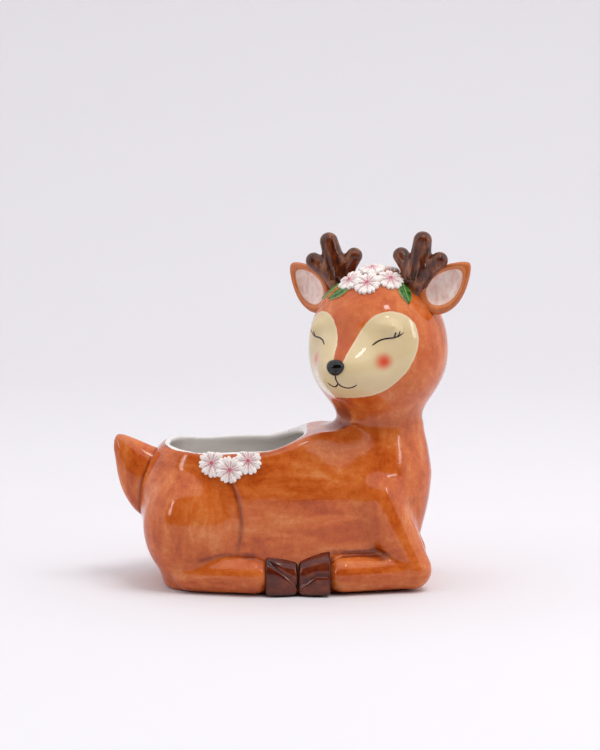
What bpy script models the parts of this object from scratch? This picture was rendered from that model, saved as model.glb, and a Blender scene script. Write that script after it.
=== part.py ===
"""A lying fawn planter: a slip-cast ceramic body with an open well in its back, a separately
cast head, ears, antlers, tail and hooves, and hand-pressed flowers and leaves.

Metres, +Z up. The origin is on the flat base, under the middle of the body. The tail points
to -X, the chest to +X, and the fawn turns its head towards -Y.
"""

import math

import bmesh
import bpy
from mathutils import Matrix, Quaternion, Vector

# Casting
WALL = 0.005
FLOOR = 0.006
LUTING_GAP = 0.0003

# Trunk: height of the rim around the well, and of the back where it rises to the neck
RIM_HEIGHT = 0.0955
WITHERS_HEIGHT = 0.1068
RISE_START = -0.018
RISE_END = 0.024
RUMP_RISE = 0.0015
RUMP_RISE_START = -0.045
RUMP_RISE_LENGTH = 0.035
CHEST_TAPER = 0.16
SHOULDER_ROUND = 0.42
SHOULDER_HEIGHT = 0.055

# Trunk outline at each height: height, rump end, chest end, half depth, squareness
TRUNK_SECTIONS = (
    (0.0000, -0.0860, 0.0840, 0.046, 3.4),
    (0.0075, -0.0888, 0.0860, 0.049, 3.3),
    (0.0240, -0.0950, 0.0875, 0.051, 2.8),
    (0.0490, -0.1028, 0.0945, 0.051, 2.6),
    (0.0685, -0.1020, 0.0970, 0.050, 2.6),
    (0.0840, -0.0955, 0.0925, 0.047, 2.7),
    (0.0955, -0.0870, 0.0875, 0.044, 3.0),
)

# Neck outline at each height: height, middle along X, half width along X, half depth
NECK_SECTIONS = (
    (0.0700, 0.0550, 0.0300, 0.0360),
    (0.0930, 0.0570, 0.0315, 0.0330),
    (0.1020, 0.0590, 0.0290, 0.0300),
    (0.1125, 0.0612, 0.0272, 0.0270),
    (0.1240, 0.0612, 0.0282, 0.0280),
)
NECK_JOINT = 0.1125
NECK_MIDDLE_X = 0.0605

# Opening of the well, seen from above
WELL_REAR = -0.0815
WELL_FRONT = 0.009
WELL_HALF_DEPTH = 0.039
WELL_SQUARENESS = 2.9
WELL_CUT_LOW = 0.040
WELL_CUT_HIGH = 0.126

# Head: its middle, how far it turns and tilts to the viewer's left, and its half sizes
HEAD_CENTRE = Vector((0.0597, -0.004, 0.1628))
HEAD_TURN = math.radians(-29.5)
HEAD_ROLL = math.radians(-1.8)
SKULL_RADII = Vector((0.0475, 0.0455, 0.0500))
CHEEK_DROP = 0.0100
CHEEK_RADII = Vector((0.0420, 0.0455, 0.0340))
MUZZLE_REACH = 0.038
MUZZLE_DROP = 0.0130
MUZZLE_RADII = Vector((0.0215, 0.0240, 0.0175))
NOSE_REACH = 0.0610
NOSE_DROP = 0.0095
NOSE_RADII = Vector((0.0060, 0.0045, 0.0053))
# The mound of clay on the crown that carries the flowers
MOUND_CENTRE = Vector((0.002, -0.004, 0.036))
MOUND_RADII = Vector((0.0250, 0.0210, 0.0165))

# Ears and antlers: places in the head's own axes, for the side at +X
EAR_ROOT = Vector((0.0355, -0.0050, 0.0250))
EAR_TIP = Vector((0.0682, 0.0020, 0.0554))
EAR_HALF_WIDTH = 0.0158
EAR_BULGE = 0.0085
EAR_DISH = 0.45
ANTLER_BASE = Vector((0.0245, 0.0000, 0.0330))
ANTLER_FORK = Vector((0.0295, -0.0020, 0.0452))
ANTLER_TOP = Vector((0.0355, -0.0050, 0.0708))
ANTLER_OUTER = Vector((0.0476, -0.0050, 0.0577))
ANTLER_INNER = Vector((0.0178, -0.0020, 0.0608))
ANTLER_SHIFT = Vector((0.0023, 0.0, 0.0))
ANTLER_FOOT_THICKNESS = 0.0085
ANTLER_THICKNESS = 0.0078
ANTLER_TOP_THICKNESS = 0.0062
TINE_THICKNESS = 0.0058

# Folded legs on the side at -Y; the far side mirrors them
HAUNCH_CENTRE = Vector((-0.063, -0.024, 0.0435))
HAUNCH_RADII = Vector((0.036, 0.031, 0.042))
HIND_HOCK = Vector((-0.066, -0.037, 0.0130))
HIND_PASTERN = Vector((-0.024, -0.0460, 0.0132))
SHOULDER = Vector((0.056, -0.026, 0.061))
KNEE = Vector((0.0815, -0.033, 0.0145))
FORE_PASTERN = Vector((0.036, -0.0435, 0.0135))
SHOULDER_THICKNESS = 0.021
KNEE_THICKNESS = 0.0135
LEG_THICKNESS = 0.0125
HOOF_SPLIT = 0.0055
HOOF_LENGTH = 0.0215
HIND_HOOF_HEIGHT = 0.0275
FORE_HOOF_HEIGHT = 0.0300
TOE_HEIGHT = 0.0240
HOOF_INNER = 0.0462
HOOF_OUTER = 0.0575
HOOF_LIFT = 0.0008
HOOF_GAP = 0.0008

# Tail: each section's middle along X and Z, half height, half width, and lean in degrees
TAIL_SECTIONS = (
    (-0.0930, 0.0670, 0.0245, 0.0135, 13),
    (-0.1015, 0.0715, 0.0230, 0.0130, 14),
    (-0.1083, 0.0793, 0.0185, 0.0105, 21),
    (-0.1134, 0.0873, 0.0130, 0.0075, 23),
    (-0.1172, 0.0938, 0.0082, 0.0050, 18),
    (-0.1202, 0.0972, 0.0040, 0.0026, 12),
)

# Pressed flowers and leaves
PETALS = 8
FLOWER_RADIUS = 0.0086
FLOWER_THICKNESS = 0.0026
LEAF_LENGTH = 0.0085
LEAF_WIDTH = 0.0042
LEAF_THICKNESS = 0.0018

# Head flowers: place on the crown in the head's axes along X and Y
HEAD_FLOWERS = (
    (-0.0080, -0.0212),
    (0.0058, -0.0240),
    (0.0180, -0.0150),
    (0.0030, -0.0105),
    (0.0130, 0.0065),
    (-0.0060, 0.0060),
)
# Head leaves: place on the crown, and the way that the leaf points
HEAD_LEAVES = (
    (-0.0140, -0.0275, 205),
    (0.0290, -0.0150, 325),
    (-0.0265, -0.0165, 190),
    (-0.0040, 0.0210, 90),
)
# Rim flowers: place along X and height on the near side
RIM_FLOWERS = (
    (-0.0531, 0.0899),
    (-0.0395, 0.0839),
    (-0.0275, 0.0901),
)

RIM_FLOWER_Y = -0.0465
RIM_FLOWER_TILT = math.radians(78)

BODY_VOXEL = 0.0032
HEAD_VOXEL = 0.0026
SMALL_VOXEL = 0.0014


def clear_scene():
    for old in list(bpy.data.objects):
        bpy.data.objects.remove(old)


def new_collection(name):
    collection = bpy.data.collections.new(name)
    bpy.context.scene.collection.children.link(collection)
    return collection


def glaze(name, colour, roughness):
    """A fired glaze or underglaze paint of one colour."""
    material = bpy.data.materials.new(name)
    material.use_nodes = True
    shader = material.node_tree.nodes["Principled BSDF"]
    shader.inputs["Base Color"].default_value = (*colour, 1.0)
    shader.inputs["Roughness"].default_value = roughness
    shader.inputs["Metallic"].default_value = 0.0
    return material


def add_ball(clay, centre, radii, turn=None, segments=28, rings=16):
    """An ellipsoid of clay."""
    place = Matrix.Translation(centre)
    if turn is not None:
        place = place @ turn.to_4x4()
    place = place @ Matrix.Diagonal((*radii, 1.0))
    bmesh.ops.create_uvsphere(clay, u_segments=segments, v_segments=rings, radius=1.0, matrix=place)


def add_limb(clay, start, end, start_radius, end_radius):
    """A round-ended tapering roll of clay from one point to another."""
    along = end - start
    turn = along.to_track_quat("Z", "Y").to_matrix()
    place = Matrix.Translation((start + end) / 2) @ turn.to_4x4()
    bmesh.ops.create_cone(
        clay, cap_ends=True, segments=24, radius1=start_radius, radius2=end_radius,
        depth=along.length, matrix=place)
    add_ball(clay, start, (start_radius,) * 3, turn)
    add_ball(clay, end, (end_radius,) * 3, turn)


def add_loft(clay, rings):
    """A closed skin over rings that have the same number of points, capped at both ends."""
    loops = [[clay.verts.new(point) for point in ring] for ring in rings]
    count = len(loops[0])
    for lower, upper in zip(loops, loops[1:]):
        for i in range(count):
            j = (i + 1) % count
            clay.faces.new((lower[i], lower[j], upper[j], upper[i]))
    clay.faces.new(reversed(loops[0]))
    clay.faces.new(loops[-1])


def squared_oval(angle, half_x, half_y, squareness):
    """A point on an oval whose corners fill out as squareness rises above 2."""
    cosine = math.cos(angle)
    sine = math.sin(angle)
    x = half_x * math.copysign(abs(cosine) ** (2 / squareness), cosine)
    y = half_y * math.copysign(abs(sine) ** (2 / squareness), sine)
    return x, y


def smooth_step(value):
    value = min(max(value, 0.0), 1.0)
    return value * value * (3 - 2 * value)


def back_height(x):
    """Height of the back: a little up at the rump, level along the well, then up to the neck."""
    rise = smooth_step((x - RISE_START) / (RISE_END - RISE_START))
    rump_rise = smooth_step((RUMP_RISE_START - x) / RUMP_RISE_LENGTH)
    return RIM_HEIGHT + (WITHERS_HEIGHT - RIM_HEIGHT) * rise + RUMP_RISE * rump_rise


def trunk_rings(inset, floor, points=64):
    """Rings of the trunk, drawn in by inset for the inside of the wall."""
    rings = []
    for height, rump, chest, half_depth, squareness in TRUNK_SECTIONS:
        half_length = (chest - rump) / 2 - inset
        middle = (chest + rump) / 2
        ring = []
        for i in range(points):
            x, y = squared_oval(2 * math.pi * i / points, half_length, half_depth - inset, squareness)
            x += middle
            y *= 1 - CHEST_TAPER * smooth_step((x + 0.02) / 0.12)
            rounding = max(0.0, (height - SHOULDER_HEIGHT) / (RIM_HEIGHT - SHOULDER_HEIGHT)) ** 2
            y *= 1 - SHOULDER_ROUND * rounding * smooth_step((x - RISE_START) / 0.07)
            top = back_height(x) - floor
            ring.append((x, y, floor + (top - floor) * height / RIM_HEIGHT))
        rings.append(ring)
    return rings


def neck_rings(inset, points=40):
    rings = []
    for height, middle, half_x, half_y in NECK_SECTIONS:
        ring = []
        for i in range(points):
            x, y = squared_oval(2 * math.pi * i / points, half_x - inset, half_y - inset, 2.0)
            ring.append((middle + x, y, height))
        rings.append(ring)
    return rings


def well_rings(points=56):
    middle = (WELL_REAR + WELL_FRONT) / 2
    half_length = (WELL_FRONT - WELL_REAR) / 2
    rings = []
    for height in (WELL_CUT_LOW, WELL_CUT_HIGH):
        ring = []
        for i in range(points):
            x, y = squared_oval(
                2 * math.pi * i / points, half_length, WELL_HALF_DEPTH, WELL_SQUARENESS)
            ring.append((middle + x, y, height))
        rings.append(ring)
    return rings


def to_mesh(name, clay):
    mesh = bpy.data.meshes.new(name)
    clay.to_mesh(mesh)
    clay.free()
    return mesh


def place_object(name, mesh, collection, parent=None, material=None):
    thing = bpy.data.objects.new(name, mesh)
    collection.objects.link(thing)
    thing.parent = parent
    if material is not None:
        mesh.materials.append(material)
        mesh.shade_smooth()
    return thing


def evaluated_mesh(thing):
    """The object's mesh with its modifiers applied, in its own axes."""
    depsgraph = bpy.context.evaluated_depsgraph_get()
    return bpy.data.meshes.new_from_object(thing.evaluated_get(depsgraph), depsgraph=depsgraph)


def fuse(name, clay, voxel, rounds, triangles):
    """Overlapping lumps of clay worked into one smooth closed skin."""
    lump = place_object(name, to_mesh(name, clay), bpy.context.scene.collection)
    remesh = lump.modifiers.new("one_skin", "REMESH")
    remesh.mode = "VOXEL"
    remesh.voxel_size = voxel
    smooth = lump.modifiers.new("worked_smooth", "SMOOTH")
    smooth.factor = 0.5
    smooth.iterations = rounds
    skin = evaluated_mesh(lump)
    lump.modifiers.clear()
    lump.data = skin
    thin = lump.modifiers.new("fewer_facets", "DECIMATE")
    thin.ratio = min(1.0, triangles / (2 * len(skin.polygons)))
    mesh = evaluated_mesh(lump)
    bpy.data.objects.remove(lump)
    return mesh


def cutter(name, mesh, collection, parent=None, grow=0.0):
    """A wire guide that cuts another piece, grown to leave a luting gap."""
    guide = place_object(name, mesh.copy(), collection, parent)
    guide.display_type = "WIRE"
    guide.hide_render = True
    if grow > 0:
        swell = guide.modifiers.new("luting_gap", "DISPLACE")
        swell.mid_level = 0.0
        swell.strength = grow
    return guide


def box_mesh(name, low, high):
    clay = bmesh.new()
    size = Vector(high) - Vector(low)
    middle = (Vector(high) + Vector(low)) / 2
    place = Matrix.Translation(middle) @ Matrix.Diagonal((*size, 1.0))
    bmesh.ops.create_cube(clay, size=1.0, matrix=place)
    return to_mesh(name, clay)


def cut(piece, tool):
    """Cut a piece with a tool."""
    cutting = piece.modifiers.new("cut_" + tool.name, "BOOLEAN")
    cutting.operation = "DIFFERENCE"
    cutting.object = tool


def mirrored(point):
    return Vector((point.x, -point.y, point.z))


def build_body_clay():
    clay = bmesh.new()
    add_loft(clay, trunk_rings(0.0, 0.0))
    add_loft(clay, neck_rings(0.0))
    for side in (lambda point: point, mirrored):
        add_ball(clay, side(HAUNCH_CENTRE), HAUNCH_RADII)
        add_limb(clay, side(HIND_HOCK), side(HIND_PASTERN), LEG_THICKNESS, LEG_THICKNESS)
        add_limb(clay, side(SHOULDER), side(KNEE), SHOULDER_THICKNESS, KNEE_THICKNESS)
        add_limb(clay, side(KNEE), side(FORE_PASTERN), LEG_THICKNESS, LEG_THICKNESS)
    return clay


def build_cavity_clay():
    clay = bmesh.new()
    add_loft(clay, trunk_rings(WALL, FLOOR))
    add_loft(clay, neck_rings(WALL))
    add_loft(clay, well_rings())
    return clay


def build_head_clay():
    clay = bmesh.new()
    add_ball(clay, (0, 0, 0), SKULL_RADII)
    add_ball(clay, (0, 0, -CHEEK_DROP), CHEEK_RADII)
    add_ball(clay, (0, -MUZZLE_REACH, -MUZZLE_DROP), MUZZLE_RADII)
    add_ball(clay, MOUND_CENTRE, MOUND_RADII)
    to_head = head_axes().inverted()
    rings = []
    for height, middle, half_x, half_y in ((0.104, 0.0605, 0.0285, 0.0275), *NECK_SECTIONS[-2:]):
        ring = []
        for i in range(40):
            x, y = squared_oval(2 * math.pi * i / 40, half_x, half_y, 2.0)
            ring.append(to_head @ Vector((middle + x, y, height)))
        rings.append(ring)
    add_loft(clay, rings)
    return clay


def head_axes():
    turn = Matrix.Rotation(HEAD_TURN, 4, "Z") @ Matrix.Rotation(HEAD_ROLL, 4, "Y")
    return Matrix.Translation(HEAD_CENTRE) @ turn


def build_ear_mesh(name, side):
    """A leaf-shaped cup: a flattened ball drawn to a point, hollowed on the front."""
    flip = Vector((side, 1, 1))
    root = EAR_ROOT * flip
    tip = EAR_TIP * flip
    along = (tip - root).normalized()
    front = Vector((0.05 * side, -1, -0.12))
    front = (front - along * front.dot(along)).normalized()
    across = front.cross(along)
    turn = Matrix((across, front, along)).transposed()
    length = (tip - root).length
    clay = bmesh.new()
    bmesh.ops.create_uvsphere(clay, u_segments=24, v_segments=12, radius=1.0)
    for point in clay.verts:
        reach = (point.co.z + 1) / 2
        width = EAR_HALF_WIDTH * (1 - 0.55 * reach ** 2.2)
        dish = -EAR_DISH if point.co.y > 0 else 1.0
        point.co = Vector((
            point.co.x * width,
            point.co.y * EAR_BULGE * dish,
            point.co.z * length / 2))
        point.co = turn @ point.co + (root + tip) / 2
    return to_mesh(name, clay)


def build_antler_mesh(name, side):
    flip = Vector((side, 1, 1))
    clay = bmesh.new()
    base, fork, top, outer, inner = (
        point * flip + ANTLER_SHIFT
        for point in (ANTLER_BASE, ANTLER_FORK, ANTLER_TOP, ANTLER_OUTER, ANTLER_INNER))
    add_limb(clay, base, fork, ANTLER_FOOT_THICKNESS, ANTLER_THICKNESS)
    add_limb(clay, fork, top, ANTLER_THICKNESS, ANTLER_TOP_THICKNESS)
    add_limb(clay, fork, outer, TINE_THICKNESS, TINE_THICKNESS)
    add_limb(clay, fork, inner, TINE_THICKNESS, TINE_THICKNESS)
    return fuse(name, clay, SMALL_VOXEL, 3, 420)


def build_tail_mesh(name):
    rings = []
    for x, z, half_height, half_width, degrees in TAIL_SECTIONS:
        lean = math.radians(degrees)
        ring = []
        for i in range(16):
            angle = 2 * math.pi * i / 16
            across = half_width * math.cos(angle)
            rise = half_height * math.sin(angle)
            ring.append((x + rise * math.sin(lean), across, z + rise * math.cos(lean)))
        rings.append(ring)
    clay = bmesh.new()
    add_loft(clay, rings)
    bmesh.ops.recalc_face_normals(clay, faces=clay.faces)
    return to_mesh(name, clay)


def build_flower_mesh(name):
    """A pressed flower lying in its own XY plane: a low dome with notched petals."""
    clay = bmesh.new()
    bmesh.ops.create_uvsphere(clay, u_segments=3 * PETALS, v_segments=6, radius=1.0)
    for point in clay.verts:
        angle = math.atan2(point.co.y, point.co.x)
        spread = 1 + 0.09 * math.cos(PETALS * angle)
        point.co.x *= FLOWER_RADIUS * spread
        point.co.y *= FLOWER_RADIUS * spread
        point.co.z *= FLOWER_THICKNESS
    return to_mesh(name, clay)


def build_leaf_mesh(name):
    """A leaf lying in its own XY plane, pointed at +X."""
    clay = bmesh.new()
    bmesh.ops.create_uvsphere(clay, u_segments=12, v_segments=6, radius=1.0)
    for point in clay.verts:
        reach = (point.co.x + 1) / 2
        point.co.y *= LEAF_WIDTH * (1.1 - 0.75 * reach ** 2)
        point.co.x *= LEAF_LENGTH
        point.co.z *= LEAF_THICKNESS
    return to_mesh(name, clay)


def build_hoof_mesh(name, outer_x, heel_height, side):
    """A hoof lying on its side: a wedge, tall at the pastern and low at the toe."""
    clay = bmesh.new()
    reach = HOOF_SPLIT - outer_x
    rings = []
    for share in (0.0, 0.35, 0.7, 0.93, 1.0):
        x = outer_x + (reach - math.copysign(LUTING_GAP, reach)) * share
        height = heel_height + (TOE_HEIGHT - heel_height) * share ** 1.4
        outer = HOOF_OUTER - 0.004 * share ** 3
        ring = []
        for y, z in (
                (HOOF_INNER, HOOF_LIFT), (outer - 0.002, HOOF_LIFT), (outer, 0.0035), (outer, 0.4 * height),
                (outer - 0.002, 0.7 * height), (outer - 0.006, 0.92 * height),
                (HOOF_INNER, height)):
            ring.append((x, side * y, z))
        rings.append(ring)
    add_loft(clay, rings)
    bmesh.ops.recalc_face_normals(clay, faces=clay.faces)
    return to_mesh(name, clay)


def crown_place(x, y, sink):
    """Where a sprig sits: on the skull or on the mound, whichever is higher there."""
    point = Vector((x, y, 0))
    outward = Vector((0, 0, 1))
    for centre, radii in ((Vector((0, 0, 0)), SKULL_RADII), (MOUND_CENTRE, MOUND_RADII)):
        across = (x - centre.x) / radii.x
        forward = (y - centre.y) / radii.y
        level = 1 - across ** 2 - forward ** 2
        height = centre.z + radii.z * math.sqrt(max(0.0, level))
        if level > 0.05 and height > point.z:
            point.z = height
            outward = Vector((across / radii.x, forward / radii.y, math.sqrt(level) / radii.z)).normalized()
    return point + outward * sink, outward


def lay_sprig(name, mesh, point, lie, parent, material, parts, tools, laid):
    """Lay a pressed sprig in place, cut to fit the pieces that are there already."""
    piece = place_object(name, mesh.copy(), parts, parent, material)
    guide = cutter(name + "_outside", mesh, tools, parent, LUTING_GAP)
    for thing in (piece, guide):
        thing.location = point
        thing.rotation_euler = lie.to_euler()
    for neighbour in laid:
        cut(piece, neighbour)
    return guide


def main():
    clear_scene()
    parts = new_collection("fawn_planter")
    tools = new_collection("cutters")

    fur = glaze("orange_brown_glaze", (0.55, 0.14, 0.035), 0.12)
    antler_glaze = glaze("dark_brown_glaze", (0.07, 0.022, 0.010), 0.15)
    hoof_glaze = glaze("hoof_brown_glaze", (0.10, 0.022, 0.010), 0.15)
    nose_glaze = glaze("black_glaze", (0.004, 0.004, 0.004), 0.10)
    petal_glaze = glaze("white_petal_glaze", (0.82, 0.74, 0.72), 0.20)
    leaf_glaze = glaze("green_leaf_glaze", (0.03, 0.15, 0.03), 0.20)

    planter = bpy.data.objects.new("planter_frame", None)
    parts.objects.link(planter)
    head_frame = bpy.data.objects.new("head_frame", None)
    parts.objects.link(head_frame)
    head_frame.parent = planter
    head_frame.location = HEAD_CENTRE
    head_frame.rotation_euler = (0, HEAD_ROLL, HEAD_TURN)
    bpy.context.view_layer.update()

    # Body
    body_mesh = fuse("body_shell", build_body_clay(), BODY_VOXEL, 5, 2600)
    body = place_object("body_shell", body_mesh, parts, planter, fur)
    body_guide = cutter("body_outside", body_mesh, tools, planter, LUTING_GAP)
    below = cutter("below_base", box_mesh("below_base", (-0.2, -0.2, -0.1), (0.2, 0.2, 0.0)), tools)
    above_neck = cutter("above_neck", box_mesh(
        "above_neck", (0.0, -0.1, NECK_JOINT - LUTING_GAP / 2), (0.2, 0.1, 0.3)), tools)
    cavity = cutter("cavity", fuse("cavity", build_cavity_clay(), BODY_VOXEL, 4, 1200), tools)
    cut(body, below)
    cut(body, above_neck)
    cut(body, cavity)

    # Hooves
    for side, where in ((-1, "near"), (1, "far")):
        for name, outer_x, heel_height in (
                ("hoof_hind_" + where, HOOF_SPLIT - HOOF_LENGTH, HIND_HOOF_HEIGHT),
                ("hoof_fore_" + where, HOOF_SPLIT + HOOF_LENGTH, FORE_HOOF_HEIGHT)):
            mesh = build_hoof_mesh(name, outer_x, heel_height, side)
            place_object(name, mesh, parts, planter, hoof_glaze)
            cut(body, cutter(name + "_socket", mesh, tools, planter, HOOF_GAP))

    # Tail
    tail = place_object("tail", build_tail_mesh("tail"), parts, planter, fur)
    cut(tail, body_guide)

    # Head
    head_mesh = fuse("head_shell", build_head_clay(), HEAD_VOXEL, 5, 1500)
    head = place_object("head_shell", head_mesh, parts, head_frame, fur)
    head_guide = cutter("head_outside", head_mesh, tools, head_frame, LUTING_GAP)
    below_neck = cutter("below_neck", box_mesh(
        "below_neck", (-0.1, -0.2, 0.0), (0.3, 0.2, NECK_JOINT + LUTING_GAP / 2)), tools)
    hollow_clay = bmesh.new()
    add_ball(hollow_clay, (0, 0, 0), SKULL_RADII - Vector((WALL, WALL, WALL)), None, 24, 14)
    add_ball(hollow_clay, (0, 0, -CHEEK_DROP), CHEEK_RADII - Vector((WALL, WALL, WALL)), None, 24, 14)
    neck_radius = NECK_SECTIONS[-2][3] - WALL
    to_head = head_axes().inverted()
    neck_foot = to_head @ Vector((NECK_MIDDLE_X, 0, NECK_JOINT - 0.020))
    neck_top = to_head @ Vector((NECK_MIDDLE_X, 0, NECK_JOINT + 0.028))
    add_limb(hollow_clay, neck_foot, neck_top, neck_radius, neck_radius)
    hollow = cutter("head_hollow", fuse("head_hollow", hollow_clay, HEAD_VOXEL, 3, 500), tools, head_frame)
    cut(head, below_neck)
    cut(head, hollow)

    # Nose, ears and antlers
    clay = bmesh.new()
    add_ball(clay, (0, -NOSE_REACH, -NOSE_DROP), NOSE_RADII, None, 18, 10)
    nose = place_object("nose", to_mesh("nose", clay), parts, head_frame, nose_glaze)
    cut(nose, head_guide)
    antler_guides = []
    for side, where in ((-1, "left"), (1, "right")):
        antler_mesh = build_antler_mesh("antler_" + where, side)
        antler = place_object("antler_" + where, antler_mesh, parts, head_frame, antler_glaze)
        cut(antler, head_guide)
        guide = cutter("antler_" + where + "_outside", antler_mesh, tools, head_frame, LUTING_GAP)
        antler_guides.append(guide)
        ear = place_object(
            "ear_" + where, build_ear_mesh("ear_" + where, side), parts, head_frame, fur)
        cut(ear, head_guide)
        cut(ear, guide)

    # Flowers and leaves on the crown, each fitted round those laid before it
    flower = build_flower_mesh("flower")
    leaf = build_leaf_mesh("leaf")
    laid = [head_guide, *antler_guides]
    for i, (x, y) in enumerate(HEAD_FLOWERS, 1):
        point, outward = crown_place(x, y, 0.0016)
        lie = Vector((0, 0, 1)).rotation_difference(outward)
        laid.append(lay_sprig(
            "head_flower_%d" % i, flower, point, lie, head_frame, petal_glaze, parts, tools, laid))
    for i, (x, y, heading) in enumerate(HEAD_LEAVES, 1):
        point, outward = crown_place(x, y, 0.0008)
        lie = Vector((0, 0, 1)).rotation_difference(outward)
        lie = lie @ Quaternion((0, 0, 1), math.radians(heading))
        laid.append(lay_sprig(
            "head_leaf_%d" % i, leaf, point, lie, head_frame, leaf_glaze, parts, tools, laid))

    # Flowers on the near rim
    laid = [body_guide]
    for i, (x, z) in enumerate(RIM_FLOWERS, 1):
        lie = Quaternion((1, 0, 0), RIM_FLOWER_TILT)
        laid.append(lay_sprig(
            "rim_flower_%d" % i, flower, (x, RIM_FLOWER_Y, z), lie, planter, petal_glaze,
            parts, tools, laid))


main()
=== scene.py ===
import math

import bmesh
import bpy
import numpy as np
from mathutils import Matrix, Vector


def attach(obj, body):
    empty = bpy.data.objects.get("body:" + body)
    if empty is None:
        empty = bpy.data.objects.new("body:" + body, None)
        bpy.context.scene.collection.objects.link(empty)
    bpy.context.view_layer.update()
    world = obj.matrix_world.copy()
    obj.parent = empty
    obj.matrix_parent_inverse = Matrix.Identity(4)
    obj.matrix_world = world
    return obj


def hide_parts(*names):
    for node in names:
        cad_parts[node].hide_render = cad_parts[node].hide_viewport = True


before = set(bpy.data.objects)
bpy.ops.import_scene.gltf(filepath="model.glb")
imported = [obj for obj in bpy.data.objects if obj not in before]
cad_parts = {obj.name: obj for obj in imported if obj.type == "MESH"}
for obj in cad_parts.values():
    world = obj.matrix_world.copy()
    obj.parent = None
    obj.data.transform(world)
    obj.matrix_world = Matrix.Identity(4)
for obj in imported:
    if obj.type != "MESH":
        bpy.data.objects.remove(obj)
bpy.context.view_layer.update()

# ---------------------------------------------------------------- body shell
# The trunk with its neck and folded legs: white earthenware slip cast in a plaster mould, so
# its wall is even and its edges are soft. It is painted with brushed underglaze, and the well
# is left white under the clear glaze.

WALL = 0.005
FLOOR = 0.006
RIM_HEIGHT = 0.0955
WITHERS_HEIGHT = 0.1068
RISE_START = -0.018
RISE_END = 0.024
RUMP_RISE = 0.0015
RUMP_RISE_START = -0.045
RUMP_RISE_RUN = 0.035
CHEST_TAPER = 0.16
TAPER_START = -0.02
TAPER_RUN = 0.12
SHOULDER_HEIGHT = 0.055
SHOULDER_ROUNDING = 0.42
SHOULDER_RUN = 0.07
NECK_JOINT = 0.1125
EDGE_ROUND = 0.0025
CASTING_PITCH = 0.0014
BODY_LOW = (-0.106, -0.066, -0.002)
BODY_HIGH = (0.102, 0.066, 0.1165)

# The opening in the back: a squared oval, cut down to this height
WELL_CUT_BASE = 0.05
WELL_MIDDLE_X = -0.03625
WELL_HALF_LENGTH = 0.04525
WELL_HALF_DEPTH = 0.039
WELL_SQUARENESS = 2.9

# Haunch: centre and radii. Each roll: its two ends, then its radius at each
HAUNCH = ((-0.063, -0.024, 0.0435), (0.036, 0.031, 0.042))
HIND_LEG = ((-0.066, -0.037, 0.0130), (-0.024, -0.046, 0.0132), 0.0125, 0.0125)
UPPER_ARM = ((0.056, -0.026, 0.061), (0.0815, -0.033, 0.0145), 0.021, 0.0135)
FORELEG = ((0.0815, -0.033, 0.0145), (0.036, -0.0435, 0.0135), 0.013, 0.0125)

TRUNK_HEIGHTS = (0.000, 0.0075, 0.0240, 0.0490, 0.0685, 0.0840, 0.0955)
TRUNK_RUMP = (-0.0860, -0.0888, -0.0950, -0.1028, -0.1020, -0.0955, -0.0870)
TRUNK_CHEST = (0.0840, 0.0860, 0.0875, 0.0945, 0.0970, 0.0925, 0.0875)
TRUNK_HALF_DEPTH = (0.046, 0.049, 0.051, 0.051, 0.050, 0.047, 0.044)
TRUNK_SQUARENESS = (3.4, 3.3, 2.8, 2.6, 2.6, 2.7, 3.0)

NECK_HEIGHTS = (0.070, 0.093, 0.102, 0.1125, 0.124, 0.144)
NECK_MIDDLE = (0.055, 0.057, 0.059, 0.0612, 0.0612, 0.061)
NECK_HALF_X = (0.030, 0.0315, 0.0290, 0.0272, 0.0282, 0.032)
NECK_HALF_Y = (0.036, 0.033, 0.030, 0.0270, 0.0280, 0.032)

HEAD_CENTRE = np.array((0.0597, -0.004, 0.1628))
HEAD_TURN = math.radians(-29.5)
HEAD_ROLL = math.radians(-1.8)
HEAD_HOLLOW_TOP = 0.040

# The head's forms in its own axes: centre and radii
SKULL = ((0, 0, 0), (0.0475, 0.0455, 0.0500))
CHEEKS = ((0, 0, -0.0100), (0.0420, 0.0455, 0.034))
MUZZLE = ((0, -0.038, -0.013), (0.0215, 0.0240, 0.0175))
MOUND = ((0.002, -0.004, 0.036), (0.025, 0.021, 0.0165))
EYELID = ((0.0223, -0.0332, 0.0138), (0.0105, 0.0046, 0.0062))


def flowing(heights, values, rounds=60):
    """A smooth curve through values given at a few heights."""
    steps = np.linspace(heights[0], heights[-1], 161)
    table = np.interp(steps, heights, values)
    for _ in range(rounds):
        table[1:-1] = (table[:-2] + 2 * table[1:-1] + table[2:]) / 4
    return lambda at: np.interp(at, steps, table)


def ease(value):
    value = np.clip(value, 0.0, 1.0)
    return value * value * (3 - 2 * value)


def melt(a, b, radius):
    """Two clay forms pressed into one, with a fillet of about this radius between them."""
    share = np.clip(0.5 + 0.5 * (b - a) / radius, 0.0, 1.0)
    return b + (a - b) * share - radius * share * (1 - share)


def carve(a, b, radius):
    """The clay of form a outside form b, with its edge rounded."""
    return -melt(-a, b, radius)


def egg(p, centre, radii):
    """Distance to an ellipsoid, negative inside the clay."""
    scaled = (p - np.asarray(centre)) / np.asarray(radii)
    reach = np.linalg.norm(scaled, axis=-1)
    slope = np.linalg.norm(scaled / np.asarray(radii), axis=-1)
    return reach * (reach - 1) / np.maximum(slope, 1e-6)


def roll(p, start, end, start_radius, end_radius):
    """Distance to a round-ended tapering roll of clay."""
    start = np.asarray(start)
    along = np.asarray(end) - start
    share = np.clip(((p - start) @ along) / (along @ along), 0.0, 1.0)
    radius = start_radius + (end_radius - start_radius) * share
    return np.linalg.norm(p - start - share[..., None] * along, axis=-1) - radius


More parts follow.
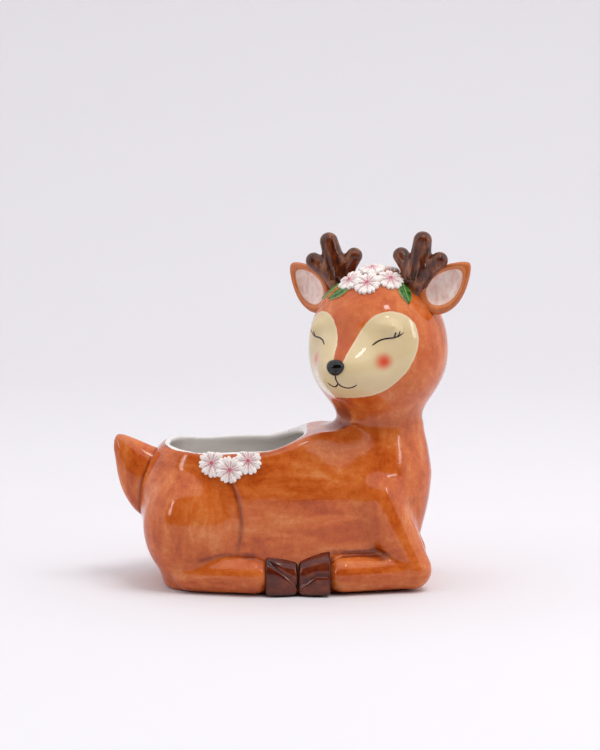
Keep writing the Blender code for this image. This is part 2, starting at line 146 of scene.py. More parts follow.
rump_at = flowing(TRUNK_HEIGHTS, TRUNK_RUMP)
chest_at = flowing(TRUNK_HEIGHTS, TRUNK_CHEST)
depth_at = flowing(TRUNK_HEIGHTS, TRUNK_HALF_DEPTH)
square_at = flowing(TRUNK_HEIGHTS, TRUNK_SQUARENESS)
neck_middle_at = flowing(NECK_HEIGHTS, NECK_MIDDLE)
neck_x_at = flowing(NECK_HEIGHTS, NECK_HALF_X)
neck_y_at = flowing(NECK_HEIGHTS, NECK_HALF_Y)


def back_height(x):
    rise = (WITHERS_HEIGHT - RIM_HEIGHT) * ease((x - RISE_START) / (RISE_END - RISE_START))
    return RIM_HEIGHT + rise + RUMP_RISE * ease((RUMP_RISE_START - x) / RUMP_RISE_RUN)


def squared_oval(x, y, half_x, half_y, squareness):
    """Distance to the side of an upright form whose outline is a squared oval."""
    x = np.abs(x)
    y = np.abs(y)
    level = ((x / half_x) ** squareness + (y / half_y) ** squareness + 1e-9) ** (1 / squareness)
    slope = np.hypot(
        (x / half_x) ** (squareness - 1) / half_x, (y / half_y) ** (squareness - 1) / half_y)
    return (level - 1) / np.maximum(slope * level ** (1 - squareness), 4.0)


def trunk_side(p):
    x, y, z = p[..., 0], p[..., 1], p[..., 2]
    height = np.clip(z / back_height(x), 0.0, 1.05) * RIM_HEIGHT
    rump = rump_at(height)
    chest = chest_at(height)
    slim = 1 - CHEST_TAPER * ease((x - TAPER_START) / TAPER_RUN)
    rounding = np.maximum(0.0, (height - SHOULDER_HEIGHT) / (RIM_HEIGHT - SHOULDER_HEIGHT)) ** 2
    slim = slim * (1 - SHOULDER_ROUNDING * rounding * ease((x - RISE_START) / SHOULDER_RUN))
    return squared_oval(
        x - (chest + rump) / 2, y / slim, (chest - rump) / 2, depth_at(height), square_at(height))


def neck_side(p):
    x, y, z = p[..., 0], p[..., 1], p[..., 2]
    return squared_oval(x - neck_middle_at(z), y, neck_x_at(z), neck_y_at(z), 2.0)


def torso(p):
    x, z = p[..., 0], p[..., 2]
    trunk = carve(trunk_side(p), back_height(x) - z, 0.0045)
    neck = np.maximum(neck_side(p), np.maximum(NECK_HEIGHTS[0] - z, z - NECK_HEIGHTS[-1]))
    return melt(trunk, neck, 0.014)


def legs(p):
    """Haunch, folded hind leg, upper arm and folded foreleg, alike on both sides."""
    q = p.copy()
    q[..., 1] = -np.abs(q[..., 1])
    haunch = egg(q, *HAUNCH)
    hind = roll(q, *HIND_LEG)
    arm = roll(q, *UPPER_ARM)
    fore = roll(q, *FORELEG)
    return haunch, hind, arm, fore


def in_head_axes(p):
    turn = Matrix.Rotation(HEAD_TURN, 3, "Z") @ Matrix.Rotation(HEAD_ROLL, 3, "Y")
    return (p - HEAD_CENTRE) @ np.array(turn)


def head_form(p):
    q = in_head_axes(p)
    head = melt(egg(q, *SKULL), egg(q, *CHEEKS), 0.008)
    head = melt(head, egg(q, *MUZZLE), 0.014)
    head = melt(head, egg(q, *MOUND), 0.004)
    q[..., 0] = np.abs(q[..., 0])
    return melt(head, egg(q, *EYELID), 0.003)


def tooled(p, line, depth, width):
    """How deep a modelling tool pressed along a line down both flanks has sunk the clay here."""
    near = np.full(p.shape[:-1], 1.0)
    for start, end in zip(line, line[1:]):
        along = np.subtract(end, start)
        offset = p[..., [0, 2]] - start
        share = np.clip(offset @ along / (along @ along), 0, 1)
        near = np.minimum(near, np.linalg.norm(offset - share[..., None] * along, axis=-1))
    return depth * np.exp(-(near / width) ** 2) * ease((np.abs(p[..., 1]) - 0.030) / 0.008)


TOOL_WIDTH = 0.0018
LEG_LINES = (
    (((-0.0400, 0.0770), (-0.0365, 0.0700), (-0.0335, 0.0600), (-0.0322, 0.0500), (-0.0328, 0.0400),
      (-0.0350, 0.0300)), 0.0012),
    (((-0.0600, 0.0235), (-0.0430, 0.0272), (-0.0240, 0.0266)), 0.0007),
    (((0.0290, 0.0282), (0.0450, 0.0275), (0.0620, 0.0235)), 0.0007))


def skin(p):
    """The outside of the whole casting."""
    haunch, hind, arm, fore = legs(p)
    form = melt(torso(p), haunch, 0.004)
    form = melt(form, arm, 0.005)
    form = melt(form, hind, 0.002)
    form = melt(form, fore, 0.002)
    form = melt(form, head_form(p), 0.012)
    for line, depth in LEG_LINES:
        form = form + tooled(p, line, depth, TOOL_WIDTH)
    return carve(form, p[..., 2], EDGE_ROUND)


def hollow(p):
    """The inside of the wall, and the opening cut through the back."""
    x, y, z = p[..., 0], p[..., 1], p[..., 2]
    inside = np.maximum(torso(p) + WALL, FLOOR - z)
    opening = squared_oval(x - WELL_MIDDLE_X, y, WELL_HALF_LENGTH, WELL_HALF_DEPTH, WELL_SQUARENESS)
    opening = np.maximum(opening, WELL_CUT_BASE - z)
    inside = melt(inside, opening, 0.004)
    in_head = np.maximum(head_form(p) + WALL, in_head_axes(p)[..., 2] - HEAD_HOLLOW_TOP)
    return melt(inside, in_head, 0.006)


def casting(p):
    return carve(skin(p), hollow(p), EDGE_ROUND)


def nudge(form, points, rounds=2):
    """Points moved onto the form's surface, and the surface's outward direction there."""
    step = 2e-4
    for turn in range(rounds + 1):
        slope = np.stack([
            form(points + step * axis) - form(points - step * axis) for axis in np.eye(3)], axis=-1)
        slope /= 2 * step
        steep = np.linalg.norm(slope, axis=-1, keepdims=True)
        if turn < rounds:
            move = form(points)[:, None] * slope / np.maximum(steep, 0.3) ** 2
            points = points - np.clip(move, -0.001, 0.001)
    return points, slope / np.maximum(steep, 1e-9)


def cast(name, form, low, high, pitch):
    """The surface of a form as a mesh of even quads, one point in each cell that it crosses."""
    axes = [np.arange(a, b + pitch, pitch) for a, b in zip(low, high)]
    grid = np.stack(np.meshgrid(*axes, indexing="ij"), axis=-1)
    value = np.stack([form(sheet) for sheet in grid])
    inside = value < 0
    size = np.array(inside.shape)
    corner = [(i, j, k) for i in (0, 1) for j in (0, 1) for k in (0, 1)]

    def at(array, offset):
        return array[tuple(slice(o, n - 1 + o) for o, n in zip(offset, size))]

    filled = sum(at(inside, c).astype(int) for c in corner)
    crossed = (filled > 0) & (filled < 8)
    total = np.zeros((*crossed.shape, 3))
    count = np.zeros(crossed.shape)
    for a in corner:
        for axis in range(3):
            if a[axis] == 0:
                b = tuple(1 if i == axis else v for i, v in enumerate(a))
                first, second = at(value, a), at(value, b)
                cut = (first < 0) != (second < 0)
                share = np.where(cut, first / np.where(cut, first - second, 1), 0)
                spot = np.broadcast_to(np.array(a, float), total.shape).copy()
                spot[..., axis] = share
                total += spot * cut[..., None]
                count += cut
    number = np.full(crossed.shape, -1)
    number[crossed] = np.arange(crossed.sum())
    cell = np.argwhere(crossed)
    points = (cell + total[crossed] / count[crossed][:, None]) * pitch + np.array(low)
    quads = []
    for axis in range(3):
        u, v = (axis + 1) % 3, (axis + 2) % 3
        here = np.take(inside, range(size[axis] - 1), axis)
        there = np.take(inside, range(1, size[axis]), axis)
        edge = np.argwhere(here != there)
        edge = edge[(edge[:, u] > 0) & (edge[:, v] > 0)
                    & (edge[:, u] < size[u] - 1) & (edge[:, v] < size[v] - 1)]
        around = []
        for back_u, back_v in ((1, 1), (0, 1), (0, 0), (1, 0)):
            near = edge.copy()
            near[:, u] -= back_u
            near[:, v] -= back_v
            around.append(number[tuple(near.T)])
        quad = np.stack(around, axis=-1)
        outward = here[tuple(edge.T)]
        quads.append(np.where(outward[:, None], quad, quad[:, ::-1]))
    points, outward = nudge(form, points)
    mesh = bpy.data.meshes.new(name)
    mesh.from_pydata(points.tolist(), [], np.concatenate(quads).tolist())
    return mesh, points


def close_at(mesh, height, keep_below):
    """Cuts a casting level at the joint and closes the wall with a flat ring."""
    clay = bmesh.new()
    clay.from_mesh(mesh)
    bmesh.ops.bisect_plane(
        clay, geom=clay.verts[:] + clay.edges[:] + clay.faces[:], dist=1e-6,
        plane_co=(0, 0, height), plane_no=(0, 0, 1),
        clear_outer=keep_below, clear_inner=not keep_below)
    rim = [e for e in clay.edges if e.is_boundary and all(abs(v.co.z - height) < 1e-5 for v in e.verts)]
    bmesh.ops.triangle_fill(clay, use_beauty=True, edges=rim)
    bmesh.ops.recalc_face_normals(clay, faces=clay.faces)
    for edge in rim:
        edge.smooth = False
    clay.to_mesh(mesh)
    clay.free()


def mesh_points(mesh):
    spots = np.empty(len(mesh.vertices) * 3)
    mesh.vertices.foreach_get("co", spots)
    return spots.reshape(-1, 3)


def note(mesh, name, values):
    """A painter's guide on the surface: one number for each point."""
    layer = mesh.attributes.new(name, "FLOAT", "POINT")
    layer.data.foreach_set("value", np.ascontiguousarray(values, dtype=np.float32))


def show(name, mesh, material):
    """Stands a finished piece on the part's one rigid body."""
    piece = bpy.data.objects.new(name, mesh)
    bpy.context.scene.collection.objects.link(piece)
    mesh.materials.clear()
    mesh.materials.append(material)
    mesh.shade_smooth()
    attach(piece, "root")
    return piece


def linear(colour):
    """A linear colour from an sRGB hex value such as 'CC6A34'."""
    parts = [int(colour[i:i + 2], 16) / 255 for i in (0, 2, 4)]
    return tuple(c / 12.92 if c <= 0.04045 else ((c + 0.055) / 1.055) ** 2.4 for c in parts) + (1.0,)


def add(tree, kind, settings=None, **inputs):
    """A node with its settings, its input values, and links from other nodes' sockets."""
    node = tree.nodes.new(kind)
    for key, value in (settings or {}).items():
        setattr(node, key, value)
    for key, value in inputs.items():
        numbered = key[0] == "i" and key[1:].isdigit()
        socket = node.inputs[int(key[1:]) if numbered else key.replace("_", " ")]
        if isinstance(value, bpy.types.NodeSocket):
            tree.links.new(value, socket)
        else:
            socket.default_value = value
    return node


GLAZE_IOR = 1.5


def new_glaze(name, roughness):
    """A clear-glazed ceramic: a sharp dielectric gloss over paint."""
    material = bpy.data.materials.new(name)
    material.use_nodes = True
    tree = material.node_tree
    shader = tree.nodes["Principled BSDF"]
    shader.inputs["IOR"].default_value = GLAZE_IOR
    shader.inputs["Roughness"].default_value = roughness
    return material, tree, shader


def blend(tree, share, under, over, mode="MIX"):
    """One colour laid over another."""
    settings = {"data_type": "RGBA", "blend_type": mode}
    return add(tree, "ShaderNodeMix", settings, i0=share, i6=under, i7=over).outputs[2]


def figure(tree, operation, first, second=0.0, clamp=False):
    """Simple arithmetic on two values."""
    node = add(tree, "ShaderNodeMath", {"operation": operation, "use_clamp": clamp}, i0=first, i1=second)
    return node.outputs[0]


def wash(tree, under, share, strength, colour):
    """A thin wash of a colour over the paint."""
    return blend(tree, figure(tree, "MULTIPLY", share, strength), under, linear(colour))


def fade(tree, value, start, end):
    """0 at the start value, 1 at the end value, and smooth between."""
    node = add(
        tree, "ShaderNodeMapRange", {"interpolation_type": "SMOOTHSTEP"},
        Value=value, From_Min=start, From_Max=end)
    return node.outputs[0]


def guide(tree, name):
    return add(tree, "ShaderNodeAttribute", {"attribute_name": name}).outputs["Fac"]


def strokes(tree, lengths, detail=3.0, swirl=0.0):
    """Brush marks: noise drawn out to these lengths in metres along the object's own axes."""
    place = add(tree, "ShaderNodeTexCoord").outputs["Object"]
    scale = tuple(1 / length for length in lengths)
    drawn = add(tree, "ShaderNodeVectorMath", {"operation": "MULTIPLY"}, i0=place, i1=scale).outputs[0]
    noise = add(tree, "ShaderNodeTexNoise", Vector=drawn, Scale=1.0, Detail=detail, Distortion=swirl)
    return noise.outputs[0]


def tones(tree, value, *stops):
    """A run of paint tones."""
    node = add(tree, "ShaderNodeValToRGB", i0=value)
    marks = node.color_ramp.elements
    while len(marks) < len(stops):
        marks.new(0.5)
    for mark, (place, colour) in zip(marks, stops):
        mark.position = place
        mark.color = linear(colour)
    return node.outputs[0]


def brushed_orange(tree, shader):
    """Terracotta underglaze laid on in brush strokes: along the flanks, and down the haunches
    and head. It is painted darker in the creases, for glaze pooled there and for shade, and thins to a
    lighter tone on the ridges."""
    along = strokes(tree, (0.034, 0.022, 0.0120), 4.0, 0.5)
    down = strokes(tree, (0.0130, 0.018, 0.030), 4.0, 0.5)
    upright = guide(tree, "upright_strokes")
    broad = add(tree, "ShaderNodeMix", i0=upright, i2=along, i3=down).outputs[0]
    fine_along = strokes(tree, (0.011, 0.006, 0.0020), 2.0, 0.3)
    fine_down = strokes(tree, (0.0022, 0.006, 0.010), 2.0, 0.3)
    fine = add(tree, "ShaderNodeMix", i0=upright, i2=fine_along, i3=fine_down).outputs[0]
    mottle = strokes(tree, (0.005, 0.005, 0.005), 5.0, 0.8)
    value = figure(tree, "MULTIPLY", broad, 0.60)
    value = figure(tree, "ADD", value, figure(tree, "MULTIPLY", fine, 0.13))
    value = figure(tree, "ADD", value, figure(tree, "MULTIPLY", mottle, 0.27))
    paint = tones(
        tree, value, (0.36, "AE4A14"), (0.44, "BE5A1F"), (0.50, "C96628"), (0.57, "D07436"),
        (0.66, "DA8C54"))
    # Painted shade and pooled glaze: the paint darkens to deep red-brown in the creases.
    crease = guide(tree, "crease")
    paint = wash(tree, paint, fade(tree, crease, 0.05, 0.35), 0.85, "7E2E0B")
    ridge = guide(tree, "ridge")
    paint = wash(tree, paint, fade(tree, ridge, 0.12, 0.6), 0.35, "E3A77E")
    grain = strokes(tree, (0.0009, 0.0009, 0.0009), 2.0)
    paint = blend(tree, 0.16, paint, tones(tree, grain, (0.35, "7A3010"), (0.65, "F2B58C")), "OVERLAY")
    ripple = strokes(tree, (0.014, 0.014, 0.014), 1.0)
    bump = add(tree, "ShaderNodeBump", Strength=0.35, Distance=0.0006, Height=ripple)
    tree.links.new(bump.outputs[0], shader.inputs["Normal"])
    return paint


def paint_guides(mesh, form, points):
    """Where glaze pools and thins: how the surface folds in or out within a few millimetres. The crease
    guide also carries painted shade into the folds.
    """
    reach = 0.005
    _, outward = nudge(form, points, 0)
    note(mesh, "crease", np.clip(1 - form(points + reach * outward) / reach, 0, 1))
    note(mesh, "ridge", np.clip(1 + form(points - reach * outward) / reach, 0, 1))


body_mesh, _ = cast("body_shell", casting, BODY_LOW, BODY_HIGH, CASTING_PITCH)
close_at(body_mesh, NECK_JOINT, keep_below=True)
spots = mesh_points(body_mesh)
paint_guides(body_mesh, skin, spots)
inner = ease((np.abs(skin(spots)) - np.abs(hollow(spots)) + 0.0003) / 0.0008)
_, outward = nudge(casting, spots, 0)
rim = ease((outward[:, 2] - 0.55) / 0.2) * ease((0.015 - spots[:, 0]) / 0.006)
rim = rim * ease((spots[:, 2] - 0.085) / 0.005)
lip = np.maximum(ease((spots[:, 1] - 0.004) / 0.020), ease((0.0034 - np.abs(hollow(spots))) / 0.0008))
note(body_mesh, "white_glaze", np.maximum(inner, rim * lip))
lined = sum(tooled(spots, line, 1.0, 0.0015) for line, _ in LEG_LINES)
note(body_mesh, "tooled_line", lined)
haunch, hind, arm, fore = legs(spots)
note(body_mesh, "upright_strokes", np.maximum(
    ease(1 - (haunch - 0.001) / 0.006) * ease((spots[:, 2] - 0.020) / 0.012),
    ease((spots[:, 0] - 0.040) / 0.015) * ease((spots[:, 2] - 0.030) / 0.020)))

body_glaze, tree, shader = new_glaze("brushed_orange_underglaze_body", 0.10)
paint = brushed_orange(tree, shader)
pooled = figure(tree, "MULTIPLY", guide(tree, "tooled_line"), strokes(tree, (0.009, 0.009, 0.009)), True)
paint = blend(tree, figure(tree, "MULTIPLY", pooled, 1.25, True), paint, linear("7A2A0A"))
white = blend(tree, strokes(tree, (0.02, 0.02, 0.02)), linear("F4F2F0"), linear("E6E1DA"))
paint = blend(tree, fade(tree, guide(tree, "white_glaze"), 0.35, 0.65), paint, white)
tree.links.new(paint, shader.inputs["Base Color"])
body = show("glazed_body", body_mesh, body_glaze)
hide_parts("body_shell")

# ---------------------------------------------------------------- head shell
# The head: a second hollow casting, luted to the neck under the jaw. The cream face, the soft
# red cheeks and the darker bridge of the nose are painted under the clear glaze.

HEAD_PITCH = 0.0011
HEAD_LOW = (0.008, -0.074, 0.109)
HEAD_HIGH = (0.112, 0.048, 0.219)
FACE_RADIUS = 0.046
FACE_MIDDLE = 1.5
FACE_OUTLINE = (
    (0, -31), (14, -30.6), (25, -29), (34, -26), (43, -21.2), (50, -15.9), (55, -10.1), (59.3, -3.7),
    (62, 2.7), (63, 9), (62, 15.8), (57.5, 20.9), (49.5, 24.4), (39, 25.7), (27, 24), (19, 20),
    (15, 16), (12, 12), (8.4, 6.5), (6, 0), (5, -4.5), (3.5, -9), (1.5, -11), (-0.5, -9), (-2.0, -4.5),
    (-3.2, 0), (-5.4, 6.5), (-9, 12), (-12, 16), (-16, 20), (-24, 24), (-36, 25.7), (-46, 24.4),
    (-55, 20.5), (-61, 15), (-65, 7), (-66, -1), (-65, -9), (-61, -17), (-53, -23.5), (-42, -28),
    (-28, -30.4), (-14, -31))
CHEEK_PLACE = (30.3, -6.7)


def face_place(azimuth, height):
    """Flattens the face: degrees round from the nose and millimetres up, to metres on a sheet."""
    return np.stack([
        np.radians(azimuth - FACE_MIDDLE) * FACE_RADIUS, np.asarray(height) * 0.001], axis=-1)


def smooth_loop(points, rounds=3):
    """A closed outline with its corners worked round."""
    loop = np.array(points, float)
    for _ in range(rounds):
        after = np.roll(loop, -1, axis=0)
        loop = np.stack([loop * 0.75 + after * 0.25, loop * 0.25 + after * 0.75], axis=1).reshape(-1, 2)
    return loop


def outline_distance(points, loop):
    """Signed distance to a closed outline, positive inside it."""
    after = np.roll(loop, -1, axis=0)
    side = after - loop
    nearest = np.full(len(points), 1.0)
    inside = np.zeros(len(points), bool)
    for start, end, along in zip(loop, after, side):
        offset = points - start
        share = np.clip((offset @ along) / max(along @ along, 1e-12), 0, 1)
        nearest = np.minimum(nearest, np.linalg.norm(offset - share[:, None] * along, axis=1))
        crossing = (start[1] > points[:, 1]) != (end[1] > points[:, 1])
        rise = along[1] if abs(along[1]) > 1e-12 else 1e-12
        inside ^= crossing & (points[:, 0] < start[0] + (points[:, 1] - start[1]) * along[0] / rise)
    return np.where(inside, nearest, -nearest)


head_mesh, _ = cast("head_shell", casting, HEAD_LOW, HEAD_HIGH, HEAD_PITCH)
close_at(head_mesh, NECK_JOINT, keep_below=False)
spots = mesh_points(head_mesh)
paint_guides(head_mesh, skin, spots)
note(head_mesh, "upright_strokes", np.full(len(spots), 0.75))
local = in_head_axes(spots)
azimuth = np.degrees(np.arctan2(local[:, 0], -local[:, 1]))
on_sheet = face_place(azimuth, local[:, 2] * 1000)
lobes = smooth_loop(face_place(*np.array(FACE_OUTLINE, float).T))
note(head_mesh, "face_edge", outline_distance(on_sheet, lobes))
cheek_near = np.full(len(spots), 1.0)
for side in (-1, 1):
    cheek = face_place(FACE_MIDDLE + side * CHEEK_PLACE[0], CHEEK_PLACE[1])
    cheek_near = np.minimum(cheek_near, np.linalg.norm(on_sheet - cheek, axis=1))
note(head_mesh, "cheek_distance", cheek_near)
note(head_mesh, "bridge", np.clip(1 - np.abs(azimuth) / 14, 0, 1) * ease((local[:, 2] + 0.014) / 0.01)
     * ease((0.036 - local[:, 2]) / 0.03))

head_glaze, tree, shader = new_glaze("brushed_orange_and_cream_underglaze", 0.09)
paint = brushed_orange(tree, shader)
paint = wash(tree, paint, guide(tree, "bridge"), 0.75, "B04A14")
wobble = figure(tree, "SUBTRACT", strokes(tree, (0.004, 0.004, 0.004)), 0.5)
wobble = figure(tree, "MULTIPLY", wobble, 0.0012)
edge = figure(tree, "ADD", guide(tree, "face_edge"), wobble)
cream = blend(tree, strokes(tree, (0.012, 0.012, 0.012)), linear("D4BC8C"), linear("DFCAA2"))
rim_tone = fade(tree, edge, 0.0022, 0.0)
cream = wash(tree, cream, rim_tone, 0.45, "EAD3B4")
blush = fade(tree, guide(tree, "cheek_distance"), 0.0078, 0.0008)
cream = wash(tree, cream, blush, 0.92, "D8402C")
paint = blend(tree, fade(tree, edge, -0.0002, 0.0003), paint, cream)
tree.links.new(paint, shader.inputs["Base Color"])
head = show("glazed_head", head_mesh, head_glaze)
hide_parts("head_shell")

# ---------------------------------------------------------------- ears
# Two leaf-shaped cups of solid clay, pinched thin at the tip and luted to the sides of the
# head. The rim is rounded, and the cup is painted pink under the glaze.

EAR_ROOT = (0.0355, -0.0050, 0.0250)
EAR_TIP = (0.0682, 0.0020, 0.0554)
EAR_HALF_WIDTH = 0.0158
EAR_TAPER = 0.55
EAR_PROFILE = (
    (0.00, -3.2), (0.30, -2.8), (0.50, -2.0), (0.62, -0.9), (0.70, 0.4), (0.79, 1.3), (0.89, 1.1),
    (0.97, -0.1), (1.00, -1.7), (0.97, -3.2), (0.88, -4.9), (0.65, -6.9), (0.35, -8.1), (0.0, -8.5))


def from_head_axes(q):
    turn = Matrix.Rotation(HEAD_TURN, 3, "Z") @ Matrix.Rotation(HEAD_ROLL, 3, "Y")
    return np.asarray(q) @ np.array(turn).T + HEAD_CENTRE


def smooth_path(points, count, rounds=4):
    """A run of points made into an even, flowing path."""
    path = np.array(points, float)
    for _ in range(rounds):
        before, after = path[:-1], path[1:]
        inner = np.stack([before * 0.75 + after * 0.25, before * 0.25 + after * 0.75], axis=1)
        path = np.concatenate([path[:1], inner.reshape(-1, path.shape[1]), path[-1:]])
    steps = np.concatenate([[0], np.cumsum(np.linalg.norm(np.diff(path, axis=0), axis=1))])
    at = np.linspace(0, steps[-1], count)
    return np.stack([np.interp(at, steps, column) for column in path.T], axis=1)


def sheet(name, grid, closed=False, flip=False):
    """Quads over a grid of points, joined round on itself when closed."""
    rows, columns = grid.shape[:2]
    number = np.arange(rows * columns).reshape(rows, columns)
    if closed:
        number = np.concatenate([number, number[:, :1]], axis=1)
    quads = np.stack([number[:-1, :-1], number[:-1, 1:], number[1:, 1:], number[1:, :-1]], axis=-1)
    quads = quads.reshape(-1, 4)
    mesh = bpy.data.meshes.new(name)
    mesh.from_pydata(grid.reshape(-1, 3).tolist(), [], (quads[:, ::-1] if flip else quads).tolist())
    return mesh


ear_glaze, tree, shader = new_glaze("brushed_orange_ear_glaze", 0.12)
paint = brushed_orange(tree, shader)
pink = tones(
    tree, strokes(tree, (0.005, 0.005, 0.009), 4.0, 0.6),
    (0.35, "E2BAAE"), (0.50, "EFCFC2"), (0.65, "F6E2D8"))
paint = blend(tree, 0.35, paint, linear("DB9660"))
paint = wash(tree, paint, fade(tree, guide(tree, "cup"), 0.97, 1.0), 0.5, "A8501F")
wobble = figure(tree, "MULTIPLY", strokes(tree, (0.003, 0.003, 0.003)), 0.05)
cup = figure(tree, "ADD", guide(tree, "cup"), wobble)
paint = blend(tree, fade(tree, cup, 0.705, 0.665), paint, pink)
tree.links.new(paint, shader.inputs["Base Color"])

for side, where in ((-1, "left"), (1, "right")):
    flip = np.array((side, 1, 1))
    root, tip = np.array(EAR_ROOT) * flip, np.array(EAR_TIP) * flip
    along = (tip - root) / np.linalg.norm(tip - root)
    front = np.array((0.05 * side, -1, -0.12))
    front -= along * (front @ along)
    front /= np.linalg.norm(front)
    across = np.cross(front, along)
    profile = smooth_path(EAR_PROFILE, 44)
    angle = np.linspace(0, 2 * np.pi, 96, endpoint=False)
    share, lift = profile[:, :1], profile[:, 1:] * 0.001
    up = np.sin(angle) * share
    reach = (up + 1) / 2
    width = EAR_HALF_WIDTH * (1 - EAR_TAPER * reach ** 2.2)
    grid = (np.stack([np.cos(angle) * share * width] * 3, axis=-1) * across
            + np.stack([up * np.linalg.norm(tip - root) / 2] * 3, axis=-1) * along
            + np.stack([np.broadcast_to(lift, up.shape)] * 3, axis=-1) * front + (root + tip) / 2)
    ear_mesh = sheet("ear_" + where, from_head_axes(grid), closed=True, flip=side < 0)
    order = np.linspace(0, 1, len(profile))
    rim_top = order[np.argmax(profile[:, 1])]
    inner_side = np.where(order < rim_top, profile[:, 0], 1.5 - profile[:, 0] * 0.3)
    note(ear_mesh, "cup", np.repeat(inner_side, len(angle)))
    note(ear_mesh, "upright_strokes", np.ones(len(ear_mesh.vertices)))
    ear = show("glazed_ear_" + where, ear_mesh, ear_glaze)
    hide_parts("ear_" + where)

# ---------------------------------------------------------------- antlers
# Two solid antlers with three blunt points each, rolled from clay, with tooled grooves up the
# front. They are brushed with dark brown underglaze that thins to tan on the ridges.

ANTLER_BASE = (0.0245, 0.0000, 0.0330)
ANTLER_FORK = (0.0295, -0.0020, 0.0452)
ANTLER_TOP = (0.0355, -0.0050, 0.0708)
ANTLER_OUTER = (0.0476, -0.0050, 0.0577)
ANTLER_INNER = (0.0178, -0.0020, 0.0608)
ANTLER_SHIFT = 0.0023
BASE_RADIUS = 0.0088
FORK_RADIUS = 0.0080
TOP_RADIUS = 0.0062
TINE_RADII = (0.0066, 0.0056)
ANTLER_PITCH = 0.0007


def antler_form(side):
    def place(point, forward=0.0, aside=0.0):
        return np.array(point) * (side, 1, 1) + (aside * side + ANTLER_SHIFT, -forward, 0)

    def form(p):
        q = in_head_axes(p)
        shape = roll(q, place(ANTLER_BASE), place(ANTLER_FORK), BASE_RADIUS, FORK_RADIUS)
        stem = roll(q, place(ANTLER_FORK), place(ANTLER_TOP), FORK_RADIUS, TOP_RADIUS)
        shape = melt(shape, stem, 0.003)
        for tine in (ANTLER_OUTER, ANTLER_INNER):
            shape = melt(shape, roll(q, place(ANTLER_FORK), place(tine), *TINE_RADII), 0.005)
        for start, end, forward, aside in (
                (ANTLER_FORK, ANTLER_TOP, 0.0082, 0.0010), (ANTLER_BASE, ANTLER_FORK, 0.0093, -0.0025)):
            foot = place(start, forward, aside)
            head_end = place(end, forward * 0.84, aside)
            shape = carve(shape, roll(q, foot, head_end, 0.0009, 0.0006), 0.0024)
        return carve(shape, skin(p) + 0.003, 0.001)
    return form


antler_glaze, tree, shader = new_glaze("brushed_dark_brown_underglaze", 0.14)
streaks = strokes(tree, (0.0040, 0.0040, 0.010), 4.0, 0.4)
paint = tones(tree, streaks, (0.34, "3A170B"), (0.46, "562612"), (0.58, "723A1C"), (0.70, "96592F"))
# Painted shade and pooled glaze: near-black brown in the creases between beam and tines.
paint = wash(tree, paint, fade(tree, guide(tree, "crease"), 0.15, 0.7), 0.6, "1E0C07")
paint = wash(tree, paint, fade(tree, guide(tree, "ridge"), 0.45, 0.9), 0.25, "7A4C30")
tree.links.new(paint, shader.inputs["Base Color"])
bump = add(tree, "ShaderNodeBump", Strength=0.4, Distance=0.0004, Height=streaks)
tree.links.new(bump.outputs[0], shader.inputs["Normal"])

for side, where in ((-1, "left"), (1, "right")):
    form = antler_form(side)
    ends = np.array((ANTLER_BASE, ANTLER_TOP, ANTLER_OUTER, ANTLER_INNER)) * (side, 1, 1)
    reach = from_head_axes(ends + (ANTLER_SHIFT, 0, 0))
    low, high = reach.min(0) - 0.011, reach.max(0) + 0.009
    antler_mesh, _ = cast("antler_" + where, form, low, high, ANTLER_PITCH)
    paint_guides(antler_mesh, form, mesh_points(antler_mesh))
    antler = show("glazed_antler_" + where, antler_mesh, antler_glaze)
    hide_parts("antler_" + where)

# ---------------------------------------------------------------- nose
# A button of clay pressed on the end of the muzzle, flatter on top, with two small nostrils.
# It is dipped in gloss black.

NOSE_PLACE = (0.0, -0.0610, -0.0095)
NOSE_RADII = (0.0062, 0.0047, 0.0054)
NOSTRIL_PLACE = (0.0026, -0.0046, -0.0018)
NOSTRIL_RADII = (0.0011, 0.0014, 0.0007)
NOSE_REACH = 0.0085
NOSE_PITCH = 0.0004


def nose_form(p):
    q = in_head_axes(p) - np.array(NOSE_PLACE)
    taper = 1 + 22 * q[..., 2]
    q = q / np.stack([np.clip(taper, 0.8, 1.15), np.ones_like(taper), np.ones_like(taper)], axis=-1)
    shape = egg(q, (0, 0, 0), NOSE_RADII)
    for side in (-1, 1):
        nostril = egg(q, np.array(NOSTRIL_PLACE) * (side, 1, 1), NOSTRIL_RADII)
        shape = carve(shape, nostril, 0.0008)
    return carve(shape, skin(p) + 0.001, 0.0004)


nose_glaze, tree, shader = new_glaze("gloss_black_glaze", 0.06)
shader.inputs["Base Color"].default_value = linear("0B0909")
middle = from_head_axes(NOSE_PLACE)
nose_mesh, _ = cast("nose", nose_form, middle - NOSE_REACH, middle + NOSE_REACH, NOSE_PITCH)
nose = show("glazed_nose", nose_mesh, nose_glaze)
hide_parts("nose")

# ---------------------------------------------------------------- face lines
# The closed eyes, their lashes and the mouth: fine lines of black overglaze drawn with a liner
# brush, fired on and standing just proud of the glaze.

EYE_LINE = ((21.5, 4.0), (24.2, 5.7), (27.7, 7.2), (32.7, 8.1), (39.2, 8.4), (43.8, 9.4), (48.3, 11.4))
LASHES = (((39.3, 8.7), (40.3, 10.3), (40.5, 12.2)), ((42.3, 9.1), (44.1, 11.0), (44.8, 13.1)))
MOUTH_STEM = ((0.2, -14.8), (0.2, -17.5), (1.1, -19.8))
MOUTH_RIGHT = ((1.1, -19.8), (2.6, -22.2), (6.6, -23.4), (10.1, -22.6), (12.8, -21.0))
MOUTH_LEFT = ((1.1, -19.8), (-0.7, -22.0), (-3.0, -22.6), (-5.2, -21.5), (-7.3, -19.7))
LINE_WIDTH = 0.0013


